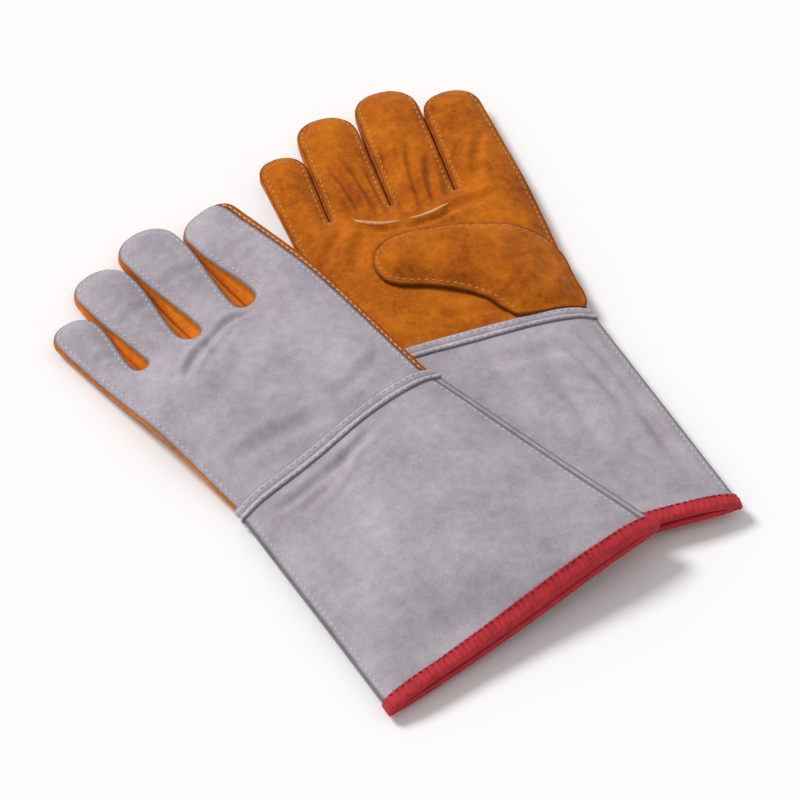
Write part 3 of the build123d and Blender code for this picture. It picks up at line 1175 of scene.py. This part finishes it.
def smoothObject(name, verts, faces):
    mesh = bpy.data.meshes.new(name)
    mesh.from_pydata([tuple(v) for v in verts], [], faces)
    mesh.polygons.foreach_set("use_smooth", np.ones(len(faces), bool))
    mesh.update()
    obj = bpy.data.objects.new(name, mesh)
    bpy.context.collection.objects.link(obj)
    return obj


def landing(tree, place, p, d, way):
    # where a point of the plan meets the leather, the leather's normal, and the line's way along it
    at = place @ Vector((p[0], p[1], 0))
    hit, normal, _, _ = tree.ray_cast(Vector((at[0], at[1], above * way)), Vector((0, 0, -way)))
    if hit is None or normal.z * way < thread["facing"]:
        return None
    up = np.array(normal)
    ahead = np.array(place.to_3x3() @ Vector((d[0], d[1], 0)))
    ahead = ahead - up * ahead.dot(up)
    return np.array(hit), up, ahead / max(np.linalg.norm(ahead), 1e-9)


def seatsOn(tree, place, path, over, keep=None):
    # the places of the stitches along a path, without those that find no leather facing them
    out = []
    for p, d in zip(*evenPath(path, thread["pitch"])):
        if keep is not None and not keep(p):
            continue
        found = landing(tree, place, p, d, 1 if over else -1)
        if found:
            hit, up, ahead = found
            out.append((p, (hit + up * thread["lift"], ahead, up)))
    return out


# the two pleats under the ring and middle stalls of the lower glove's palm
pleats = dict(
    lines=[
        [(-34, 102), (-29, 96), (-21, 92.5), (-9, 91)],
        [(-5, 92), (2, 90.5), (10, 91.5), (20, 95.5)],
    ],
    radius=1.1,
    step=1.0,
    around=8,
    seam=9.0,
)


def pleatMesh(name, tree, place, line):
    # a thin ridge that tapers to both ends
    even = np.vstack([line[0], evenPath(np.array(line, float), 4.0)[0], line[-1]])
    path, run = evenPath(even, pleats["step"])
    verts, local, faces = [], [], []
    count, around = len(path), pleats["around"]
    for k, (p, d) in enumerate(zip(path, run)):
        hit, up, ahead = landing(tree, place, p, d, 1)
        side = np.cross(up, ahead)
        r = pleats["radius"] * math.sin(math.pi * (k + 0.6) / (count + 0.2)) ** 0.6 + 0.05
        for m in range(around):
            a = 2 * math.pi * m / around
            verts.append(hit + side * r * math.cos(a) + up * (r * 0.9 * math.sin(a) + 0.1))
            local.append((p[0] + r * math.cos(a), p[1] + r * math.sin(a), 0))
    for k in range(count - 1):
        for m in range(around):
            n = (m + 1) % around
            a, b = k * around, (k + 1) * around
            faces.append((a + m, a + n, b + n, b + m))
    faces.append(tuple(range(around))[::-1])
    faces.append(tuple((count - 1) * around + m for m in range(around)))
    obj = smoothObject(name, [v * mm for v in verts], faces)
    mesh = obj.data
    setPlaces(mesh, np.array(local) * mm, np.full(len(verts), pleats["seam"] * mm))
    bm = bmesh.new()
    bm.from_mesh(mesh)
    bmesh.ops.recalc_face_normals(bm, faces=bm.faces)
    bm.to_mesh(mesh)
    bm.free()
    return obj


def treeOf(form):
    verts = [tuple(v) for v in form["verts"]]
    return BVHTree.FromPolygons(verts, [tuple(int(i) for i in q) for q in form["quads"]])


def stitchesOf(side, over):
    # the stitches of one glove's upper or lower face
    place = leftPlace if side == "left" else rightPlace
    cuffPlace = leftCuffPlace if side == "left" else rightPlace
    back = (side == "left") == over
    sewn = ("hand", "cuff", "thumb", "strip", "binding")
    trees = {part: treeOf(forms[side, part]) for part in sewn}
    outline = openLine(handOutline(back)[0])
    closed = np.vstack([outline, outline[:1]])
    loop = thumbLoop(side)
    gap = thread["inset"]

    def onHand(p):
        if p[1] < 4 or distanceTo(p[None], closed)[0][0] < gap * 0.9:
            return False
        return back or not insideOf(p[None], loop)[0]

    seats = seatsOn(trees["hand"], place, insetOf(outline, gap), over, onHand)
    if back:
        line = wrapLine(handOutline(True)[0])[:-4]
        line = line - (thread["wrapInset"], 0)
        seats += seatsOn(trees["hand"], place, line, over, lambda p: p[1] > 4)
    groups = {}
    for p, seat in seats:
        groups.setdefault(regionNames[regionOf(*p)], []).append(seat)
    if not back:
        inner = insetOf(loop, thread["thumbInset"])[1:-1]
        found = seatsOn(trees["thumb"], place, inner, over, lambda p: p[1] > 6 and p[0] < 62)
        groups["thumb"] = [seat for p, seat in found]
    low = []
    for end in (-1, 1):
        ys = np.linspace(-9, -cuff["length"] + 11, 60)
        inward = cuff["wrap"] + thread["cuffInset"] if back and end > 0 else gap
        xs = end * (np.array([float(cuffHalf(y)) for y in ys]) - inward)
        low += seatsOn(trees["cuff"], cuffPlace, np.column_stack([xs, ys]), over)
    for y in thread["strip"]:
        line = np.array([(-thread["stripHalf"], y), (thread["stripHalf"], y)])
        low += seatsOn(trees["strip"], cuffPlace, line, over)
    y = -cuff["length"] + thread["hem"]
    line = np.array([(-thread["hemHalf"], y), (thread["hemHalf"], y)])
    tape = seatsOn(trees["binding"], cuffPlace, line, over)
    groups["cuff"] = [seat for p, seat in low]
    groups["hem"] = [seat for p, seat in tape]
    return groups


for side in ("left", "right"):
    for over in (True, False):
        groups = stitchesOf(side, over)
        face = "over" if over else "under"
        for region, seats in groups.items():
            obj = stitchMesh(f"{side}_{region}_thread_{face}", seats)
            pieces[side, region, f"thread_{face}"] = obj
            if region in ("hand", "cuff", "hem"):
                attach(obj, f"{side}_hand")
            else:
                blended(obj, side, region, [])
        print(side, face, "stitches", sum(len(seats) for seats in groups.values()))

palmTree = treeOf(forms["right", "hand"])
for k, line in enumerate(pleats["lines"]):
    obj = pleatMesh(f"right_palm_pleat_{k + 1}", palmTree, rightPlace, line)
    pieces["right", f"pleat{k}"] = obj
    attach(obj, "right_hand")

# materials


def hide(dark, pale, nap, patch, edge, bump, sheen):
    # nap and patch are the fine and the broad pattern's sizes in metres, edge is the seam's shade
    return dict(dark=dark, pale=pale, nap=nap, patch=patch, edge=edge, bump=bump, sheen=sheen)


looks = {
    "greyLeather": hide("#978e97", "#bdb5bd", 0.0011, 0.03, 0.42, 0.35, 0.12),
    "goldLeather": hide("#8a3d04", "#d9780f", 0.0010, 0.026, 0.40, 0.35, 0.02),
    "brightLeather": hide("#b8560a", "#f08d1c", 0.0010, 0.020, 0.50, 0.30, 0.02),
    "paleLeather": hide("#a39aa2", "#d2cad1", 0.0010, 0.020, 0.42, 0.25, 0.12),
    # the pleat's pale colours are partly the leather's own and partly a painted highlight along the
    # ridges
    "pleat": hide("#cf8d4c", "#eec193", 0.0009, 0.008, 1.0, 0.2, 0.05),
    "redTape": dict(dark="#981420", pale="#cf2733", weave=0.0011),
    "fleece": dict(dark="#b5a88f", pale="#e4dac6", tuft=0.0022),
    "paleThread": dict(colour="#ddd4d8"),
    "tanThread": dict(colour="#d9a050"),
    "redThread": dict(colour="#8e1a22"),
}


def linear(code):
    out = []
    for k in (1, 3, 5):
        c = int(code[k : k + 2], 16) / 255
        out.append(c / 12.92 if c <= 0.04045 else ((c + 0.055) / 1.055) ** 2.4)
    return (*out, 1.0)


def plug(tree, node, inputs):
    for key, value in inputs.items():
        if isinstance(value, bpy.types.NodeSocket):
            tree.links.new(value, node.inputs[key])
        else:
            node.inputs[key].default_value = value


def addNode(tree, kind, inputs=None, out=0, **settings):
    # adds a node with its settings and links, and gives the output that the next node reads
    made = tree.nodes.new("ShaderNode" + kind)
    for key, value in settings.items():
        setattr(made, key, value)
    plug(tree, made, inputs or {})
    return made.outputs[out]


def newMaterial(name):
    mat = bpy.data.materials.new(name)
    mat.use_nodes = True
    return mat, mat.node_tree, mat.node_tree.nodes["Principled BSDF"]


def suede(name, look):
    mat, tree, shader = newMaterial(name)
    place = addNode(tree, "Attribute", None, "Vector", attribute_name="place")
    patterns = []
    for size, detail in ((look["nap"], 2.0), (look["patch"] / 5, 4.0), (look["patch"], 5.0)):
        inputs = {"Vector": place, "Scale": 1 / size, "Detail": detail, "Roughness": 0.6}
        patterns.append(addNode(tree, "TexNoise", inputs, "Fac"))
    nap, rub, cloud = patterns
    tone = 0.0
    for value, weight in ((nap, 0.45), (rub, 0.55), (cloud, 0.9)):
        tone = addNode(tree, "Math", {0: value, 1: weight, 2: tone}, operation="MULTIPLY_ADD")
    share = addNode(tree, "MapRange", {"Value": tone, "From Min": 0.66, "From Max": 1.24}, "Result")
    colours = {0: share, 6: linear(look["dark"]), 7: linear(look["pale"])}
    colour = addNode(tree, "Mix", colours, 2, data_type="RGBA")
    if look["edge"] < 1:
        # painted shade: the cut edge and the channel of the seam are darkened as if in their own
        # shadow
        seam = addNode(tree, "Attribute", None, "Fac", attribute_name="seam")
        reach = {"Value": seam, "From Min": 0.0003, "From Max": 0.0017, "To Min": look["edge"]}
        paintedSeamShade = addNode(tree, "MapRange", reach, "Result")
        grey = addNode(tree, "CombineColor", {0: paintedSeamShade, 1: paintedSeamShade, 2: paintedSeamShade})
        colours = {0: 1.0, 6: colour, 7: grey}
        colour = addNode(tree, "Mix", colours, 2, data_type="RGBA", blend_type="MULTIPLY")
    relief = {"Strength": look["bump"], "Distance": 0.0012, "Height": rub}
    relief = {"Normal": addNode(tree, "Bump", relief), "Distance": 0.0004, "Height": nap}
    inputs = {
        "Base Color": colour,
        "Roughness": 0.93,
        "Specular IOR Level": 0.18,
        "Sheen Weight": look["sheen"],
        "Sheen Roughness": 0.55,
        "Normal": addNode(tree, "Bump", {"Strength": look["bump"], **relief}),
    }
    plug(tree, shader, inputs)
    return mat


def tape(name, look):
    mat, tree, shader = newMaterial(name)
    place = addNode(tree, "Attribute", None, "Vector", attribute_name="place")
    ribs = {"Vector": place, "Scale": 0.314 / look["weave"], "Distortion": 1.5, "Detail": 1.0}
    weft = addNode(tree, "TexWave", ribs, "Fac", bands_direction="Y")
    dirt = {"Vector": place, "Scale": 1 / 0.006, "Detail": 3.0, "Roughness": 0.55}
    wear = addNode(tree, "TexNoise", dirt, "Fac")
    tone = addNode(tree, "Math", {0: weft, 1: 0.35, 2: wear}, operation="MULTIPLY_ADD")
    share = addNode(tree, "MapRange", {"Value": tone, "From Min": 0.35, "From Max": 0.95}, "Result")
    colours = {0: share, 6: linear(look["dark"]), 7: linear(look["pale"])}
    inputs = {
        "Base Color": addNode(tree, "Mix", colours, 2, data_type="RGBA"),
        "Roughness": 0.8,
        "Sheen Weight": 0.04,
        "Normal": addNode(tree, "Bump", {"Strength": 0.4, "Distance": 0.0003, "Height": weft}),
    }
    plug(tree, shader, inputs)
    return mat


def fleecy(name, look):
    mat, tree, shader = newMaterial(name)
    place = addNode(tree, "Attribute", None, "Vector", attribute_name="place")
    pile = {"Vector": place, "Scale": 1 / look["tuft"], "Detail": 4.0, "Roughness": 0.65}
    tuft = addNode(tree, "TexNoise", pile, "Fac")
    share = addNode(tree, "MapRange", {"Value": tuft, "From Min": 0.3, "From Max": 0.7}, "Result")
    colours = {0: share, 6: linear(look["dark"]), 7: linear(look["pale"])}
    inputs = {
        "Base Color": addNode(tree, "Mix", colours, 2, data_type="RGBA"),
        "Roughness": 1.0,
        "Sheen Weight": 0.35,
        "Normal": addNode(tree, "Bump", {"Strength": 0.6, "Distance": 0.0009, "Height": tuft}),
    }
    plug(tree, shader, inputs)
    return mat


def spun(name, look):
    mat, tree, shader = newMaterial(name)
    place = addNode(tree, "TexCoord", None, "Object")
    fibres = {"Vector": place, "Scale": 1 / 0.0006, "Detail": 2.0, "Roughness": 0.55}
    fibre = addNode(tree, "TexNoise", fibres, "Fac")
    share = addNode(tree, "MapRange", {"Value": fibre, "From Min": 0.3, "From Max": 0.7}, "Result")
    base = linear(look["colour"])
    colours = {0: share, 6: tuple(c * 0.72 for c in base[:3]) + (1.0,), 7: base}
    colour = addNode(tree, "Mix", colours, 2, data_type="RGBA")
    plug(tree, shader, {"Base Color": colour, "Roughness": 0.7})
    return mat


mats = {
    # chrome-tanned cow split, undyed grey, nap side out
    "greyLeather": suede("grey_split_leather", looks["greyLeather"]),
    # golden dyed cowhide split of the palm, thumb and wrapped edges
    "goldLeather": suede("golden_cowhide", looks["goldLeather"]),
    # the same hide where the strips between the fingers show their cleaner face
    "brightLeather": suede("golden_cowhide_strip", looks["brightLeather"]),
    # thin pale split of the strip over the wrist seam
    "paleLeather": suede("pale_split_leather", looks["paleLeather"]),
    # undyed flesh side of the hide, turned out at the pleats of the palm, made paler still as a
    # painted highlight on their ridges
    "pleat": suede("cowhide_pleat", looks["pleat"]),
    # ribbed cotton binding tape, dyed red
    "redTape": tape("red_binding", looks["redTape"]),
    # brushed cotton lining
    "fleece": fleecy("cotton_lining", looks["fleece"]),
    # spun sewing threads
    "paleThread": spun("pale_thread", looks["paleThread"]),
    "tanThread": spun("tan_thread", looks["tanThread"]),
    "redThread": spun("red_thread", looks["redThread"]),
}


def lookOf(key):
    side, part, layer = key if len(key) == 3 else (*key, None)
    if layer and layer.startswith("thread"):
        if part == "hem":
            return "redThread"
        onPalm = (side == "right") == layer.endswith("over")
        return "tanThread" if onPalm and part != "cuff" else "paleThread"
    if part.startswith("pleat"):
        return "pleat"
    if part in ("strip", "binding", "lining"):
        return {"strip": "paleLeather", "binding": "redTape", "lining": "fleece"}[part]
    if part == "cuff":
        return "greyLeather"
    if part == "thumb":
        return "goldLeather"
    return {"back": "greyLeather", "palm": "goldLeather", "fourchette": "brightLeather"}[layer]


for key, obj in pieces.items():
    obj.data.materials.append(mats[lookOf(key)])
print("materials given to", len(pieces), "pieces")

# floor and light
light = dict(sky=0.5, sun=2.15, softness=0.35, fromDirection=(-0.35, 0.62, 0.72))
ground = dict(size=6, below=0.0006, colour="#ffffff")
floorZ = min(0.0, cadBox[0].z) - ground["below"]
bpy.ops.mesh.primitive_plane_add(size=ground["size"], location=(0, 0, floorZ))
floor = bpy.context.object
floor.name = "floor"
floor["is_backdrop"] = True
floorMat, tree, shader = newMaterial("pale_floor")
plug(tree, shader, {"Base Color": linear(ground["colour"]), "Roughness": 0.9})
floor.data.materials.append(floorMat)
world = bpy.data.worlds.new("world")
bpy.context.scene.world = world
world.use_nodes = True
sky = {"Color": (1, 1, 1, 1), "Strength": light["sky"]}
plug(world.node_tree, world.node_tree.nodes["Background"], sky)
lamp = bpy.data.lights.new("sun", "SUN")
lamp.energy = light["sun"]
lamp.angle = light["softness"]
sun = bpy.data.objects.new("sun", lamp)
bpy.context.collection.objects.link(sun)
sun.rotation_euler = Vector(light["fromDirection"]).to_track_quat("Z", "Y").to_euler()
bpy.context.scene.view_settings.view_transform = "Standard"

# the thumbs' outer faces are padded, and the cuffs' leather is cut from flat sheets; here only the
# area of each flat cuff sheet is worked out
for side in ("left", "right"):
    area = (cuff["wrist"] + cuff["hem"]) * cuff["length"] * mm * mm
    area = area + cuff["wrap"] * cuff["length"] * mm * mm

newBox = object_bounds()
sizes = [[round(v, 4) for v in box[1] - box[0]] for box in (newBox, cadBox)]
print("size", sizes[0], "frame's own", sizes[1])
